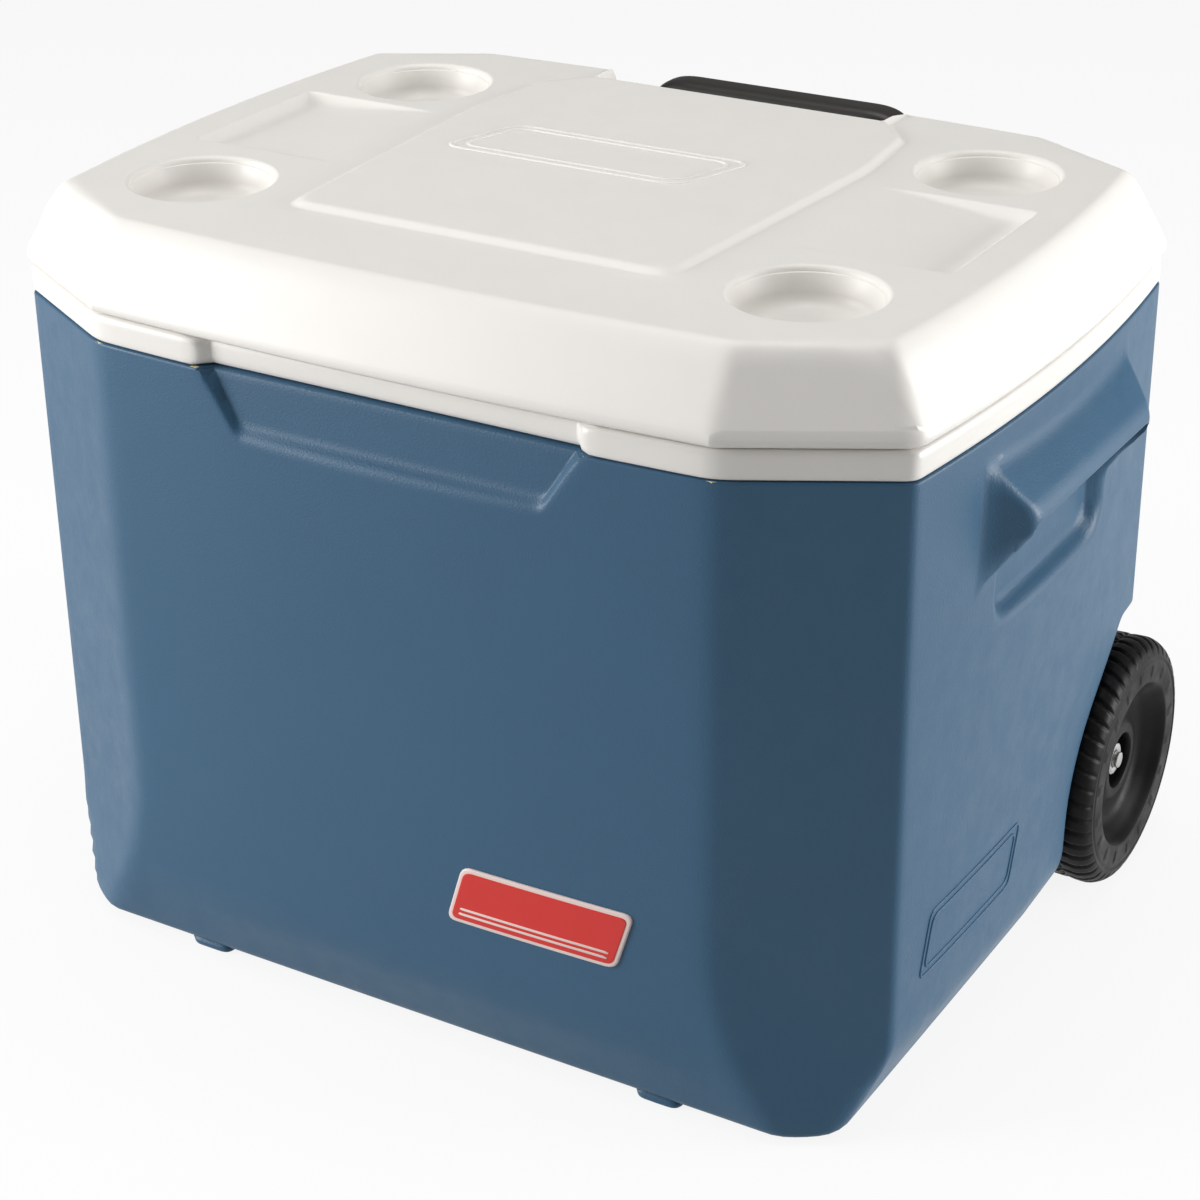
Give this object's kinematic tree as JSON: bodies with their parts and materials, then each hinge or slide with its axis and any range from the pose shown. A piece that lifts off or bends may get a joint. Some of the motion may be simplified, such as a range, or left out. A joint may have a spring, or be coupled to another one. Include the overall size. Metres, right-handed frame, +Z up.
{
  "type": "wheeled cooler",
  "caption": "Insulated chest with a hinged lid, cup holders, moulded end handles, a telescopic tow handle and wheels at its back.",
  "frame": {"origin": "on the ground under the middle of the whole box around the cooler", "axes": "+X to the right along the long front, -Y out of the front, +Z up"},
  "size_m": [0.606, 0.4552, 0.447],
  "materials": {
    "chest_blue": "satin",
    "white_plastic": "satin",
    "insulation": "matte",
    "badge_red": "satin",
    "black_plastic": "satin",
    "tube_metal": "satin",
    "steel": "satin",
    "seal_rubber": "matte"
  },
  "bodies": {
    "chest": {"body_shell": "chest_blue", "inner_liner": "white_plastic", "insulation_foam": "insulation", "badge_plate": "badge_red", "axle_rod": "steel", "drain_spout": "white_plastic", "drain_washer": "seal_rubber", "drain_nut": "white_plastic", "handle_top_bracket": "black_plastic", "handle_bottom_bracket": "black_plastic", "hinge_chest_leaf_left": "white_plastic", "hinge_pin_left": "steel", "push_nut_left": "steel", "wheel_spacer_left": "black_plastic", "axle_clip_left": "black_plastic", "outer_tube_left": "tube_metal", "hinge_chest_leaf_right": "white_plastic", "hinge_pin_right": "steel", "push_nut_right": "steel", "wheel_spacer_right": "black_plastic", "axle_clip_right": "black_plastic", "outer_tube_right": "tube_metal", "hinge_chest_screw_1": "steel", "hinge_chest_screw_2": "steel", "hinge_chest_screw_3": "steel", "hinge_chest_screw_4": "steel", "bracket_screw_1": "steel", "bracket_screw_2": "steel", "bracket_screw_3": "steel", "bracket_screw_4": "steel"},
    "lid": {"lid_shell": "white_plastic", "lid_liner": "white_plastic", "lid_foam": "insulation", "hinge_lid_leaf_left": "white_plastic", "hinge_lid_leaf_right": "white_plastic", "hinge_lid_screw_1": "steel", "hinge_lid_screw_2": "steel", "hinge_lid_screw_3": "steel", "hinge_lid_screw_4": "steel"},
    "wheel_left": {"wheel_left": "black_plastic"},
    "wheel_right": {"wheel_right": "black_plastic"},
    "tow_middle": {"middle_tube_left": "tube_metal", "middle_tube_right": "tube_metal"},
    "tow_handle": {"tow_grip": "black_plastic", "inner_tube_left": "tube_metal", "inner_tube_right": "tube_metal"},
    "drain_seal": {"drain_seal": "seal_rubber"},
    "drain_cap": {"drain_cap": "white_plastic"}
  },
  "joints": [
    {"name": "lid_hinge", "type": "hinge", "parent": "chest", "child": "lid", "pos_m": [0, 0.20985, 0.38], "axis": [-1, 0, 0], "range_deg": [0, 100]},
    {"name": "wheel_left_spin", "type": "hinge", "parent": "chest", "child": "wheel_left", "pos_m": [-0.265, 0.14085, 0.077], "axis": [1, 0, 0], "continuous": true},
    {"name": "wheel_right_spin", "type": "hinge", "parent": "chest", "child": "wheel_right", "pos_m": [0.265, 0.14085, 0.077], "axis": [1, 0, 0], "continuous": true},
    {"name": "tow_lower_slide", "type": "slide", "parent": "chest", "child": "tow_middle", "axis": [0, 0, 1], "range_m": [0, 0.235]},
    {"name": "tow_upper_slide", "type": "slide", "parent": "tow_middle", "child": "tow_handle", "axis": [0, 0, 1], "range_m": [0, 0.235]},
    {"name": "drain_cap_lift", "type": "slide", "parent": "chest", "child": "drain_seal", "axis": [-1, 0, 0], "range_m": [0, 0.0101]},
    {"name": "drain_cap_twist", "type": "hinge", "parent": "drain_seal", "child": "drain_cap", "pos_m": [-0.285, -0.01115, 0.066], "axis": [-1, 0, 0], "range_deg": [0, 720]}
  ],
  "couplings": [
    {"joint": "drain_cap_lift", "follows": "drain_cap_twist", "m_per_rad": 0.00079577}
  ]
}
